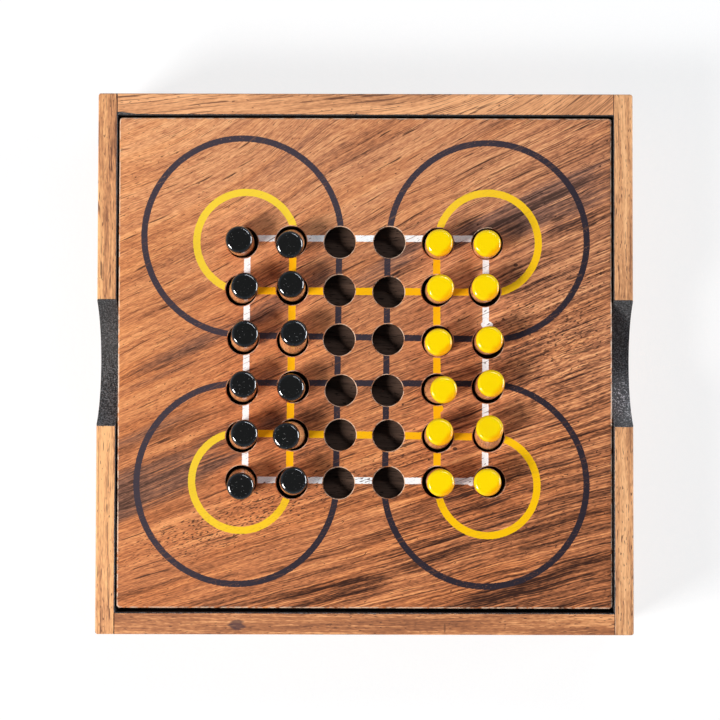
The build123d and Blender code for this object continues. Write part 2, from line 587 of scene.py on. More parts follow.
@dataclass(frozen=True)
class WallFinish:
    """Oiled hardwood of one wall, painted black inside the box and in its finger scoop.

    Attributes:
        wood: The board that the wall is cut from.
        sizes: Where the inner faces and the scoop are.
        smudge: Middle of a small dark stain, in millimetres, if the wall has one.
        nick: Middle of a short knife mark, if it has one.
        spill: Where paint has crept onto the wall's top, from its thick to its thin end.
        painted_glints: Middle of the patch of the scoop that is painted paler, with pale specks,
            as sheen and glints of light on the gritty paint.
        creep: How far paint creeps past the edge of a painted inner face.
        scoop_creep: How far it creeps past the edge of the scoop.
    """

    wood: Hardwood
    sizes: Sizes
    smudge: Pair | None = None
    nick: Pair | None = None
    spill: Pair | None = None
    painted_glints: Pair | None = None
    creep: float = 0.12
    scoop_creep: float = 0.14

    def material(self) -> bpy.types.Material:
        """Builds the wall's material.

        Returns:
            The material.
        """
        wood = self.wood
        shader = MaterialTree(wood.name)
        along, across = (shader.y, shader.x) if wood.run is Run.DEPTH else (shader.x, shader.y)
        bend = shader.noise((0.016, 0.016, 0.03), 1.0, 0.5, wood.seed)
        beyond = (along - wood.curl_from).math("MAXIMUM", 0.0)
        climb = along * wood.slope + beyond * beyond * (wood.curl / 2)
        grain = WoodGrain(shader, along, across - climb + (bend - 0.5) * 3.0, shader.z)
        fibres = grain.fibres(wood.seed)
        flecks = grain.flecks(wood.seed)
        streaks = grain.streaks(wood.seed)
        figure = (
            wood.base
            + along * wood.darkening
            + grain.bands(wood.seed) * (1.7 * wood.bands)
            + streaks * (1.5 * wood.bands)
            + fibres * 1.2
            + flecks * 0.9
            - (streaks + fibres * 0.5).step(0.06, 0.16) * wood.silver
        )
        stops = ((0.0, wood.pale), (0.45, wood.warm), (1.0, wood.brown))
        colour = shader.ramp(figure, stops)
        pores = grain.pores(wood.pores, wood.seed)
        dashes = grain.dashes(wood.dashes, wood.seed)
        open_wood = pores.math("MAXIMUM", dashes)
        colour = shader.mix(open_wood * 0.85, colour, WALL_PORE)
        colour = self._marks(shader, colour)
        paint, grit = self._paint(shader)
        colour = shader.mix(paint, colour, self._black(shader, grit))
        height = (1.0 - paint) * (fibres * 0.5 - open_wood * 0.5) + paint * grit * 1.4
        roughness = 0.46 + open_wood * 0.2 + fibres * 0.2 - paint * (grit * 0.22)
        normal = shader.bump(height, 0.05)
        return shader.finish(colour, roughness, normal, Specular_IOR_Level=OILED_SHINE)

    def _black(self, shader: MaterialTree, grit: Number) -> Socket:
        """Colours the black paint, whose grit is paler towards the front and which may have a
        paler, speckled patch: both are painted light.

        Args:
            shader: The wall's tree.
            grit: 1 on a grain of grit.

        Returns:
            The paint's colour.
        """
        # The grit is made paler towards the front of the box: painted light, where the scoop's
        # surface turns towards the lamps behind the box.
        speckle_level = shader.y.step(8.0, -14.0) * 0.5 + 0.5
        black = shader.mix(grit * speckle_level, tone(45, 44, 44), tone(140, 140, 142))
        # A paler patch with pale specks on the scoop: painted sheen and glints of light on the
        # gritty paint.
        if self.painted_glints is not None:
            patch = shader.spot(self.painted_glints, (9.0, 11.0))
            black = shader.mix(patch * 0.30, black, tone(132, 136, 140))
            speck = shader.noise(1.7, 1.0, 0.6, 83.0) + patch * 0.08
            black = shader.mix(speck.step(0.66, 0.72) * patch, black, tone(226, 226, 228))
        return black

    def _marks(self, shader: MaterialTree, colour: Socket) -> Socket:
        """Adds the stain and the knife mark that the wall may have.

        Args:
            shader: The wall's tree.
            colour: The wood's colour.

        Returns:
            The colour with the marks.
        """
        if self.smudge is not None:
            cloud = shader.noise((0.35, 0.9, 0.5), 2.0, 0.6, self.wood.seed + 5.0)
            spot = shader.spot(self.smudge, (3.9, 2.6))
            stain = (spot + cloud - 0.5).step(0.35, 0.75)
            colour = shader.mix(stain * 0.75, colour, tone(58, 44, 54))
        if self.nick is not None:
            cut = shader.spot(self.nick, (0.42, 1.8)).step(0.1, 0.5)
            colour = shader.mix(cut * 0.6, colour, tone(92, 58, 42))
        return colour

    def _paint(self, shader: MaterialTree) -> tuple[Number, Number]:
        """Where the black paint is, and how gritty it is there.

        Args:
            shader: The wall's tree.

        Returns:
            1 on the paint, and 1 on a grain of grit.
        """
        wander = shader.noise(0.12, 2.0, 0.6, 7.0 + self.wood.seed)
        sideways = self.wood.run is Run.DEPTH
        reach, along = (abs(shader.x), shader.y) if sideways else (abs(shader.y), shader.x)
        room = self.sizes.inner_width if sideways else self.sizes.inner_depth
        edge = room / 2 + self.creep
        overrun = wander * 0.35
        if self.spill is not None:
            thick, thin = self.spill
            overrun = overrun + along.step(thin, thick) * 0.55
        paint = (reach - overrun).step(edge + SOFT_EDGE, edge - SOFT_EDGE)
        if sideways:
            level = shader.z - self.sizes.scoop_centre
            from_axis = (shader.y * shader.y + level * level).math("SQRT")
            limit = self.sizes.scoop_radius + self.scoop_creep
            in_scoop = from_axis.step(limit + SOFT_EDGE, limit - SOFT_EDGE)
            paint = paint.math("MAXIMUM", in_scoop)
        grit = shader.noise(2.0, 2.0, 0.7, 13.0)
        return paint, grit.step(0.42, 0.72)


@dataclass(frozen=True)
class Streak:
    """One long tapering streak in the board's figure.

    Attributes:
        across: Its distance across the grain from the board's middle, in millimetres.
        along: Where its middle is along the grain.
        width: Half its width.
        reach: Half its length.
        depth: How much it darkens the wood, or lightens it where below 0.
    """

    across: float
    along: float
    width: float
    reach: float
    depth: float


class Ink(Enum):
    """The three inks, each printed in its own pass."""

    WHITE = "white"
    YELLOW = "yellow"
    VIOLET = "violet"


@dataclass(frozen=True)
class Line:
    """A printed line of the board, from edge to edge of the grid.

    Attributes:
        ink: Its ink.
        start: One end, in millimetres.
        end: The other end.
    """

    ink: Ink
    start: Pair
    end: Pair

    def covers(self, shader: MaterialTree, half: float, wobble: Number) -> Number:
        """Where the line lies.

        Args:
            shader: The board's tree.
            half: Half the line's width in millimetres.
            wobble: Small noise that roughens its edges.

        Returns:
            1 on the line and 0 off it.
        """
        width, height = self.end[0] - self.start[0], self.end[1] - self.start[1]
        upright = abs(height) > abs(width)
        run, side = (shader.y, shader.x) if upright else (shader.x, shader.y)
        base, first = self.start if upright else reversed(self.start)
        length, climb = (height, width) if upright else (width, height)
        off = abs(side - (run - first) * (climb / length) - base) + wobble
        beyond = abs(run - (first + length / 2))
        inside = beyond.math("LESS_THAN", abs(length) / 2)
        return off.step(half + SOFT_EDGE, half - SOFT_EDGE) * inside


@dataclass(frozen=True)
class Loop:
    """A printed loop round one corner of the grid, open towards the middle of the board.

    Attributes:
        ink: Its ink.
        centre: Its centre, in millimetres.
        radius: Its radius.
    """

    ink: Ink
    centre: Pair
    radius: float

    def covers(self, shader: MaterialTree, half: float, wobble: Number) -> Number:
        """Where the loop lies.

        Args:
            shader: The board's tree.
            half: Half the loop's width in millimetres.
            wobble: Small noise that roughens its edges.

        Returns:
            1 on the loop and 0 off it.
        """
        out_x = (shader.x - self.centre[0]) * math.copysign(1.0, self.centre[0])
        out_y = (shader.y - self.centre[1]) * math.copysign(1.0, self.centre[1])
        distance = (out_x * out_x + out_y * out_y).math("SQRT")
        off = abs(distance - self.radius) + wobble
        outside = out_x.math("MAXIMUM", out_y).math("GREATER_THAN", 0.0)
        return off.step(half + SOFT_EDGE, half - SOFT_EDGE) * outside


@dataclass(frozen=True)
class Blot:
    """A small blot of ink where the stencil has bled.

    Attributes:
        ink: Its ink.
        centre: Its middle, in millimetres.
        size: Half its width and half its height.
    """

    ink: Ink
    centre: Pair
    size: Pair

    def covers(self, shader: MaterialTree, half: float, wobble: Number) -> Number:
        """Where the blot lies.

        Args:
            shader: The board's tree.
            half: Half the width of its ink's lines, which a blot does without.
            wobble: Small noise that roughens its edge.

        Returns:
            1 on the blot and 0 off it.
        """
        return (shader.spot(self.centre, self.size) - wobble).step(0.16, 0.30)


@dataclass(frozen=True)
class BoardPrint:
    """What is printed on the board: a square grid of lines whose ends run into corner loops.

    Attributes:
        widths: How wide each ink's lines are, in millimetres.
        broken: How far the wood's pores show through each ink.
        marks: The lines of the grid, the loops round its corners and small blots.
    """

    widths: dict[Ink, float] = field(
        default_factory=lambda: {Ink.WHITE: 2.15, Ink.YELLOW: 2.43, Ink.VIOLET: 2.1}
    )
    broken: dict[Ink, float] = field(
        default_factory=lambda: {Ink.WHITE: 0.85, Ink.YELLOW: 0.12, Ink.VIOLET: 0.5}
    )
    marks: tuple[Line | Loop | Blot, ...] = (
        Line(Ink.WHITE, (-41.0, 41.9), (41.5, 41.9)),
        Line(Ink.WHITE, (-41.2, -39.2), (41.3, -39.55)),
        Line(Ink.WHITE, (-39.6, 42.6), (-40.15, -40.0)),
        Line(Ink.WHITE, (40.6, 42.6), (40.3, -40.4)),
        Line(Ink.YELLOW, (-40.0, 24.25), (41.3, 23.9)),
        Line(Ink.YELLOW, (-41.6, -23.6), (41.1, -24.7)),
        Line(Ink.YELLOW, (-24.3, 40.7), (-25.25, -39.7)),
        Line(Ink.YELLOW, (24.0, 40.4), (24.25, -41.1)),
        Line(Ink.VIOLET, (-41.2, 9.2), (41.3, 8.1)),
        Line(Ink.VIOLET, (-43.0, -6.65), (40.4, -6.85)),
        Line(Ink.VIOLET, (-8.7, 42.5), (-9.65, -40.5)),
        Line(Ink.VIOLET, (7.55, 41.0), (6.8, -40.8)),
        Loop(Ink.YELLOW, (-40.0, 40.7), 16.67),
        Loop(Ink.YELLOW, (41.3, 40.4), 16.9),
        Loop(Ink.YELLOW, (-41.6, -39.7), 16.4),
        Loop(Ink.YELLOW, (41.1, -41.1), 16.6),
        Loop(Ink.VIOLET, (-41.2, 42.5), 33.1),
        Loop(Ink.VIOLET, (41.3, 41.0), 33.2),
        Loop(Ink.VIOLET, (-43.0, -40.5), 33.5),
        Loop(Ink.VIOLET, (40.4, -40.8), 33.9),
        Blot(Ink.WHITE, (40.9, 13.0), (2.3, 1.3)),
        Blot(Ink.WHITE, (35.6, -39.6), (1.6, 1.7)),
        Blot(Ink.YELLOW, (24.6, -15.2), (2.0, 1.6)),
    )

    def covers(self, shader: MaterialTree, ink: Ink, wobble: Number) -> Number:
        """Where one ink lies.

        Args:
            shader: The board's tree.
            ink: The ink.
            wobble: Small noise that roughens the edges, in millimetres.

        Returns:
            1 on the ink and 0 off it.
        """
        half = self.widths[ink] / 2
        own = [mark for mark in self.marks if mark.ink is ink]
        first, *others = [mark.covers(shader, half, wobble) for mark in own]
        for other in others:
            first = first.math("MAXIMUM", other)
        return first


@dataclass(frozen=True)
class BoardFinish:
    """Figured hardwood of the drilled panel, lacquered, with the print on its face.

    Attributes:
        sizes: Sizes of the box and board.
        name: The material's name.
        rise: How far the grain climbs for each millimetre to the right.
        fan: How fast its lines spread to the right.
        swirl: Middle of the swirl in its back left corner, in millimetres.
        mottle: Middle of the mottled patch at its right edge.
        hole_field: Half the side of the square that holds all holes, in millimetres.
        printed: The print.
        brown_tones: Tones of the wood, from pale to dark.
        smoky_tones: Tones in its purplish heartwood.
        brown_figure_and_shade: Streaks of brown heartwood, and a few patches of painted shade
            where the pegs shade the board.
        smoky_figure_and_shade: Streaks of purplish heartwood, and dark patches of painted shade
            between the pegs.
        porous: Patches where the pores are dense.
        lined: Patches where the thin dark lines are dense.
        knots: Small dark knots.
    """

    sizes: Sizes
    name: str = "board_wood_figured"
    rise: float = 0.42
    fan: float = 0.002
    swirl: Pair = (-83.0, 82.0)
    mottle: Pair = (66.0, 3.0)
    hole_field: float = 50.0
    printed: BoardPrint = BoardPrint()
    brown_tones: tuple[Stop, ...] = (
        (0.00, tone(248, 172, 112)),
        (0.20, tone(224, 147, 94)),
        (0.40, tone(196, 121, 78)),
        (0.58, tone(160, 98, 64)),
        (0.78, tone(112, 68, 46)),
        (1.00, tone(60, 36, 28)),
    )
    smoky_tones: tuple[Stop, ...] = (
        (0.00, tone(236, 172, 124)),
        (0.30, tone(202, 138, 98)),
        (0.55, tone(156, 108, 85)),
        (0.76, tone(122, 84, 68)),
        (1.00, tone(78, 54, 44)),
    )
    brown_figure_and_shade: tuple[Streak, ...] = (
        Streak(74, -70, 3.5, 22, 0.16), Streak(58, -78, 1.4, 14, 0.16),
        Streak(54.5, -63, 2.2, 18, 0.32), Streak(50, -62, 2.6, 16, 0.12),
        Streak(76, -6, 2.2, 20, 0.20), Streak(72, 0, 2.5, 18, 0.16),
        # Streak(46, -25) is partly painted shade of the pegs.
        Streak(46, -25, 4.5, 14, 0.22), Streak(45, -78, 2.2, 12, 0.20),
        # Streak(36, -43) is painted shade, left of the first column of pegs.
        Streak(47, -77, 2.6, 9, -0.14), Streak(36, -43, 3, 8, 0.12),
        Streak(20, -70, 6, 18, -0.05), Streak(4.5, -57, 4, 20, 0.24),
        Streak(-1.0, -62, 2.2, 15, -0.20), Streak(5, -81, 4, 6, 0.16),
        # Streak(-10, -25) is painted shade between the pegs.
        Streak(-10, -25, 12, 16, 0.16), Streak(-26, -66, 2.6, 17, 0.18),
        Streak(-34, -4, 6, 10, -0.10), Streak(-62, -70, 6, 16, -0.06),
        Streak(-23, -33, 3.0, 7, -0.14), Streak(-24, -17, 6, 10, 0.14),
        Streak(-30.8, -58, 1.4, 28, -0.20), Streak(-38, -40, 6, 36, -0.12),
        Streak(-54, -77, 4, 16, 0.14), Streak(-66, -40, 7, 30, 0.12),
        Streak(-53.5, -5, 3.5, 16, -0.10), Streak(-71, -17, 2.6, 20, 0.34),
        Streak(-75.5, -19, 2.4, 14, 0.34), Streak(-64, -6, 1.8, 18, 0.16),
        Streak(-74.5, -3, 3.0, 14, 0.30), Streak(45.4, 10, 0.7, 13, 0.14),
        Streak(43.5, 69, 1.1, 17, 0.24), Streak(47.5, 62, 1.3, 16, 0.14),
        Streak(15, 66, 2.4, 16, 0.10), Streak(24, 13, 4, 10, 0.20),
        Streak(7, 50, 2.5, 10, 0.14), Streak(2.5, 54, 2.6, 13, 0.22),
        Streak(-2, 60, 4, 20, 0.08), Streak(-15, 74, 4, 12, 0.16),
        Streak(-18, 52, 6.0, 14, 0.16), Streak(-16, 62, 3, 10, -0.08),
        Streak(-26, 55, 3, 9, 0.28), Streak(-33, 67, 2.4, 8, 0.16),
        Streak(-51, 76, 1.8, 9, 0.16), Streak(-31, 70, 4, 12, 0.22),
        Streak(-29, 32, 2.6, 9, 0.30), Streak(-34, 10, 5, 13, -0.12),
        Streak(-56, 27, 8, 21, 0.14), Streak(-58.5, 8, 1.9, 15, 0.20),
        Streak(-64, 68, 2.6, 11, 0.26), Streak(-63.5, 42, 2.0, 18, 0.24),
        Streak(-67, 26, 2.4, 22, 0.30), Streak(-71.5, 26, 3.6, 17, 0.30),
        Streak(-74, 0, 5.0, 12, 0.22), Streak(-62, 24, 2.0, 9, 0.22),
        Streak(-60.5, 40, 2.2, 11, 0.18), Streak(-83, 45, 1.8, 12, 0.14),
        Streak(-71.5, 58, 1.7, 26, 0.30), Streak(-75.5, 68, 1.2, 16, 0.20),
        Streak(-79.5, 45, 2.6, 18, -0.10), Streak(-87, 34, 6, 24, 0.18),
        Streak(-88.5, 54, 3.4, 24, 0.26), Streak(-84.5, 74, 2.4, 12, 0.22),
        Streak(-94, 75, 5, 14, -0.10),
    )
    smoky_figure_and_shade: tuple[Streak, ...] = (
        Streak(88, -28, 9, 17, 0.14), Streak(35, -60, 6.0, 25, 0.28),
        # Streak(35, -32) is partly painted shade of the pegs.
        Streak(28.5, -66, 2.2, 22, 0.20), Streak(35, -32, 6, 12, 0.30),
        # Streak(33, -16) is partly painted shade of the pegs.
        Streak(40, -14, 6, 14, 0.18), Streak(33, -16, 5, 13, 0.20),
        Streak(27, 3, 7, 14, 0.20), Streak(9, -72, 4.5, 20, 0.26),
        Streak(-12.5, -70, 12, 30, 0.36), Streak(-13, -84, 14, 14, 0.26),
        Streak(-4, -48, 5, 11, 0.20), Streak(-14.5, -47, 2.6, 9, 0.24),
        # Streak(26, -33), Streak(11, -32) and Streak(-6.5, -32) are painted shadows of the pegs,
        # between the first two columns.
        Streak(26, -33, 3.4, 6, 0.26), Streak(11, -32, 3.4, 6, 0.22),
        Streak(-6.5, -32, 3.4, 6, 0.28), Streak(24, 68, 10.5, 28, 0.28),
        Streak(27, 60, 5.0, 22, 0.16), Streak(24, 50, 7.5, 18, 0.25),
        Streak(27, 34, 4.6, 15, 0.36), Streak(19, 66, 5, 18, 0.10),
        Streak(30, 15, 4.6, 11, 0.34),
    )
    porous: tuple[Streak, ...] = (
        Streak(-38, -40, 12, 52, 0.18), Streak(18, -62, 10, 26, 0.06),
        Streak(-8, 62, 22, 28, 0.10), Streak(-34, 10, 8, 15, 0.10),
        Streak(0, -66, 6, 20, 0.06), Streak(-60, 60, 20, 40, 0.05),
        Streak(-20, 72, 13, 17, 0.075),
    )
    lined: tuple[Streak, ...] = (
        Streak(46, 58, 24, 36, 0.13), Streak(-60, 60, 26, 44, 0.11),
        Streak(30, -20, 26, 66, 0.05), Streak(-40, -30, 18, 50, 0.06),
    )
    knots: tuple[Pair, ...] = ((30.2, -28.7), (50.6, 33.1))

    def material(self) -> bpy.types.Material:
        """Builds the board's material.

        Returns:
            The material.
        """
        shader = MaterialTree(self.name)
        top = self.sizes.board_top
        grain = WoodGrain(shader, shader.x, self._across(shader), shader.z)
        wood, fibres, pores = self._wood(shader, grain)
        on_top = shader.z.step(top - 0.06, top - 0.02)
        colour, ink = self._print(shader, wood, on_top, pores)
        in_field = abs(shader.x).math("MAXIMUM", abs(shader.y)).math("LESS_THAN", self.hole_field)
        in_hole = in_field * shader.z.step(top - 0.28, top - 0.36)
        # A pale, broken ring on the hole mouths and the panel's eased edge: partly wear and
        # chipping of the wood, partly painted highlight where these edges catch the light.
        wear_and_highlight = shader.noise(0.5, 2.0, 0.6, 51.0).step(0.34, 0.60)
        rim = (1.0 - on_top) * (1.0 - in_hole) * shader.z.step(top - 0.9, top - 0.6)
        colour = shader.mix(rim * wear_and_highlight * 0.75, colour, tone(236, 206, 180))
        colour = shader.mix(in_hole, colour, tone(68, 53, 43))
        height = (fibres - pores * 0.2) * (1.0 - in_hole)
        roughness = 0.36 + pores * 0.25 + fibres * 0.20 + ink * 0.06 + in_hole * 0.3
        normal = shader.bump(height, 0.03)
        return shader.finish(colour, roughness, normal, Specular_IOR_Level=MATT_SHINE)

    def _across(self, shader: MaterialTree) -> Number:
        """Distance across the grain, whose lines climb to the right and spread like a fan.

        Args:
            shader: The board's tree.

        Returns:
            The distance, in millimetres.
        """
        even = (shader.y - shader.x * self.rise) / (1.0 + shader.x * self.fan)
        out_x, out_y = shader.x - self.swirl[0], shader.y - self.swirl[1]
        swirl = (out_x * out_x + out_y * out_y).math("SQRT").step(75.0, 5.0)
        slow = shader.noise((0.012, 0.022, 0.02), 1.0, 0.5, 2.0)
        quick = shader.noise((0.05, 0.10, 0.06), 1.0, 0.5, 19.0)
        bends = (slow - 0.5) * 4.0 + (quick - 0.5) * 1.6
        return even + bends + swirl * out_x * 0.35

    def _total(self, grain: WoodGrain, streaks: Sequence[Streak]) -> Number:
        """Adds up some streaks.

        Args:
            grain: The board's grain.
            streaks: The streaks.

        Returns:
            How dark they are together.
        """
        total = None
        for streak in streaks:
            centre, size = (streak.along, streak.across), (streak.reach, streak.width)
            part = grain.shader.spot(centre, size, grain.vector) * streak.depth
            total = part if total is None else total + part
        return total

    def _wood(self, shader: MaterialTree, grain: WoodGrain) -> tuple[Socket, Number, Number]:
        """Colours the bare wood.

        Args:
            shader: The board's tree.
            grain: The board's grain.

        Returns:
            The wood's colour, its fibres and its pores.
        """
        x, y = shader.x, shader.y
        brown = self._total(grain, self.brown_figure_and_shade)
        smoky = self._total(grain, self.smoky_figure_and_shade)
        lines = grain.streaks(5.0)
        fibres = grain.fibres(1.0)
        mottled = shader.spot(self.mottle, (28.0, 30.0))
        flecks = grain.flecks(2.0) * (0.7 + mottled * 0.5)
        threads = grain.threads(6.0)
        uneven = 0.95 + lines * 1.2 + fibres + threads
        lively = (y * 0.6 - x * 0.9).step(40.0, -60.0)
        dabs = shader.noise((0.25, 1.0, 1.0), 2.0, 0.7, 77.0) - 0.5
        figure = (
            0.40
            + (x - y) * 0.0013
            + (brown + smoky) * uneven
            + grain.bands(9.0) * (0.45 + lively * 0.3)
            + lines * (0.4 + lively * 0.3)
            + fibres * (0.55 + lively * 0.65)
            + threads * (0.4 + lively * 0.8)
            + flecks
            + dabs * (x - y).step(-20.0, -120.0) * 0.45
        )
        brown_wood = shader.ramp(figure, self.brown_tones)
        smoky_wood = shader.ramp(figure, self.smoky_tones)
        # The smoky share also takes in the patches of painted peg shade, so the wood there turns
        # darker and greyer.
        stained = (smoky * uneven).step(0.04, 0.40)
        colour = shader.mix(stained, brown_wood, smoky_wood)
        blush = grain.layer(0.02, 0.14, 1.0, 0.5, 67.0).step(-0.05, 0.15)
        colour = shader.tint(blush * 0.7, colour, (1.0, 0.93, 0.84, 1.0))
        # A bluish, paler veil over the upper right of the board: painted sheen, a reflection on
        # the lacquer.
        painted_sheen = (y + x * 0.4).step(-40.0, 70.0)
        colour = shader.tint(painted_sheen * (1.0 - stained * 0.6), colour, (0.97, 1.12, 1.34, 1.0))
        pores = self._pores(shader, grain)
        return shader.mix(pores * 0.85, colour, tone(54, 33, 26)), fibres, pores

    def _pores(self, shader: MaterialTree, grain: WoodGrain) -> Number:
        """The pores, dashes and knots, all of which are dark.

        Args:
            shader: The board's tree.
            grain: The board's grain.

        Returns:
            1 inside one of them.
        """
        dense = self._total(grain, self.porous) - 0.045
        pores = grain.pores(Pores(0.8, 2.4, 0.72), 3.0, dense)
        lined = self._total(grain, self.lined)
        dashes = grain.dashes(Dashes(0.012, 0.9, 0.05, 0.10, 0.57), 8.0, lined)
        pores = pores.math("MAXIMUM", dashes)
        for knot in self.knots:
            mark = shader.spot(knot, (0.9, 0.7)).step(0.1, 0.5)
            pores = pores.math("MAXIMUM", mark)
        return pores

    def _print(
        self, shader: MaterialTree, colour: Socket, on_top: Number, pores: Number
    ) -> tuple[Socket, Number]:
        """Lays the three inks over the wood, broken by its pores.

        Args:
            shader: The board's tree.
            colour: The wood's colour.
            on_top: 1 on the board's upper face.
            pores: 1 in the wood's pores.

        Returns:
            The printed colour, and 1 where there is ink.
        """
        x, y = shader.x, shader.y
        wobble = (shader.noise(1.6, 1.0, 0.5, 29.0) - 0.5) * 0.3
        speck = shader.noise((1.5, 2.6, 2.6), 1.0, 0.5, 33.0)
        whole = on_top * (1.0 - speck.step(0.66, 0.74) * 0.25)
        # Inside the grid, where the pegs cast their shade, the yellow ink is coloured more orange:
        # painted shade.
        peg_shade_orange = abs(x).math("MAXIMUM", abs(y)).step(44.0, 36.0)
        faded = (x - y * 0.7).step(60.0, -65.0)
        yellow = shader.mix(faded, tone(245, 190, 5), tone(243, 206, 56))
        inks = {
            Ink.WHITE: shader.mix(speck.step(0.3, 0.5), tone(236, 238, 240), tone(254, 254, 253)),
            Ink.YELLOW: shader.mix(peg_shade_orange, yellow, tone(251, 184, 6)),
            Ink.VIOLET: shader.mix(faded, tone(45, 38, 46), tone(66, 57, 65)),
        }
        total = None
        for ink, ink_tone in inks.items():
            unbroken = 1.0 - pores * self.printed.broken[ink]
            cover = self.printed.covers(shader, ink, wobble) * whole * unbroken
            colour = shader.mix(cover, colour, ink_tone)
            total = cover if total is None else total.math("MAXIMUM", cover)
        return colour, total


@dataclass(frozen=True)
class BackingFinish:
    """Dark stained wood behind the drilled panel, which is the bottom of every hole."""

    name: str = "backing_wood_dark"

    def material(self) -> bpy.types.Material:
        """Builds the backing's material.

        Returns:
            The material.
        """
        shader = MaterialTree(self.name)
        grain = WoodGrain(shader, shader.x, shader.y + shader.x * 0.06, shader.z)
        fibres = grain.fibres(4.0)
        pores = grain.pores(Pores(0.4, 2.4, 0.68), 6.0)
        figure = 0.5 + grain.bands(2.0) * 1.2 + grain.streaks(7.0) * 0.9 + fibres * 1.2
        stops = ((0.0, tone(116, 90, 76)), (0.5, tone(92, 71, 60)), (1.0, tone(66, 50, 42)))
        colour = shader.mix(pores * 0.7, shader.ramp(figure, stops), tone(28, 20, 17))
        normal = shader.bump(fibres * 0.5 - pores, 0.06)
        return shader.finish(colour, 0.6 + pores * 0.2, normal, Specular_IOR_Level=MATT_SHINE)


@dataclass(frozen=True)
class HiddenWoodFinish:
    """Plainer wood of the pieces inside the box, painted black above a given height.

    Attributes:
        name: The material's name.
        painted_above: Height above which the piece is painted, in millimetres.
    """

    name: str
    painted_above: float

    def material(self) -> bpy.types.Material:
        """Builds the material.

        Returns:
            The material.
        """
        shader = MaterialTree(self.name)
        grain = WoodGrain(shader, shader.x, shader.y, shader.z)
        fibres = grain.fibres(8.0)
        pores = grain.pores(Pores(0.35, 2.2, 0.70), 12.0)
        figure = 0.45 + grain.bands(14.0) * 1.3 + grain.streaks(3.0) * 0.8 + fibres * 0.8
        stops = ((0.0, tone(230, 180, 130)), (0.5, tone(204, 150, 103)), (1.0, tone(158, 108, 74)))
        colour = shader.mix(pores * 0.6, shader.ramp(figure, stops), tone(96, 64, 46))
        grit = shader.noise(2.4, 2.0, 0.7, 13.0).step(0.35, 0.75)
        paint = shader.z.step(self.painted_above - 0.1, self.painted_above + 0.1)
        colour = shader.mix(paint, colour, shader.mix(grit, tone(40, 39, 39), tone(66, 65, 66)))
        height = (1.0 - paint) * (fibres * 0.5 - pores) + paint * grit * 0.6
        return shader.finish(colour, 0.52 - paint * (grit * 0.1), shader.bump(height, 0.06))


@dataclass(frozen=True)
class DowelFinish:
    """Bare hardwood dowel of the pegs, read along each peg's own axis."""

    name: str = "dowel_wood"

    def material(self) -> bpy.types.Material:
        """Builds the dowel's material.

        Returns:
            The material.
        """
        shader = MaterialTree(self.name)
        own = shader.own()
        grain = WoodGrain(shader, shader.z, shader.x + own * 60.0, shader.y - own * 37.0)
        fibres = grain.fibres(2.0)
        pores = grain.pores(Pores(0.4, 2.6, 0.68), 15.0)
        figure = 0.26 + own * 0.25 + grain.streaks(1.0) * 1.3 + fibres * 1.4
        stops = ((0.0, tone(246, 182, 122)), (0.5, tone(216, 144, 92)), (1.0, tone(156, 94, 60)))
        colour = shader.mix(pores * 0.7, shader.ramp(figure, stops), tone(92, 56, 40))
        return shader.finish(colour, 0.42 + pores * 0.2, shader.bump(fibres * 0.5 - pores, 0.05))


@dataclass(frozen=True)
class DipFinish:
    """Glossy paint that the pegs' tops are dipped in.

    Attributes:
        name: The material's name.
        thick: The colour where the paint is thick.
        thin: The colour near the edge of the dip, which also paints shade on the lower right of
            the top.
        sag: How strongly the lower right of the top takes the thin colour as painted shade, from 0
            to 1.
        dust: The colour of the dust caught in the paint.
        speckle_level: How much dust there is, from 0 to 1.
        gloss: How strongly its outer skin mirrors, as an index of refraction.
    """

    name: str
    thick: Colour
    thin: Colour
    sag: float
    dust: Colour
    speckle_level: float
    gloss: float

    def material(self, peg_length: float) -> bpy.types.Material:
        """Builds the paint's material.

        Args:
            peg_length: Length of a peg in millimetres.

        Returns:
            The material.
        """
        shader = MaterialTree(self.name)
        own = shader.own()
        moved = shader.join(shader.x + own * 90.0, shader.y - own * 50.0, shader.z)
        cloud = shader.noise(0.35, 2.0, 0.5, 1.0, moved) - 0.5
        below = (shader.z + cloud * 0.8).step(peg_length - 0.35, peg_length - 1.5)
        # The lower right of each top is coloured amber, the same on every peg: painted shade.
        lower_right_shade = (shader.x - shader.y + cloud * 2.0).step(2.6, 5.4) * self.sag
        colour = shader.mix(below * 0.8 + lower_right_shade + cloud * 0.2, self.thick, self.thin)
        nibs = shader.noise(1.9, 1.0, 0.5, 35.0, moved).step(0.68, 0.78) * self.speckle_level
        colour = shader.mix(nibs * 0.5, colour, self.dust)
        ripple = shader.noise(0.45, 1.0, 0.5, 21.0, moved)
        roughness = 0.08 + nibs * 0.3 + abs(cloud) * 0.12
        normal = shader.bump(ripple + nibs * 0.6, 0.08)
        coat = {"Coat_Weight": 1.0, "Coat_IOR": self.gloss, "Coat_Roughness": 0.06}
        return shader.finish(colour, roughness, normal, Specular_IOR_Level=0.2, **coat)


@dataclass(frozen=True)
class Standing:
    """How one CAD peg stands in its hole.

    Attributes:
        foot: Middle of its foot, in metres.
        axis: Unit vector from the foot to the top.
        radius: Its radius in metres.
        length: Its length in metres.
    """

    foot: Vector
    axis: Vector
    radius: float
    length: float

    @classmethod
    def of_node(cls, node: str) -> "Standing":
        """Reads the stand off a packed peg, whose rings of points lie round its axis.

        Args:
            node: Name of the peg's CAD node.

        Returns:
            The stand.
        """
        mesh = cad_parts[node].data
        places = [[round(c, 7) for c in vertex.co] for vertex in mesh.vertices]
        points = numpy.unique(numpy.array(places), axis=0)
        rough = numpy.linalg.svd(points - points.mean(axis=0))[2][0]
        heights = points @ (rough * numpy.sign(rough[2]))
        near = 0.01 * (heights.max() - heights.min())
        top = points[heights > heights.max() - near].mean(axis=0)
        foot = points[heights < heights.min() + near].mean(axis=0)
        length = numpy.linalg.norm(top - foot)
        axis = (top - foot) / length
        out = (points - foot) - numpy.outer((points - foot) @ axis, axis)
        radius = numpy.linalg.norm(out, axis=1).max()
        return cls(Vector(foot), Vector(axis), float(radius), float(length))


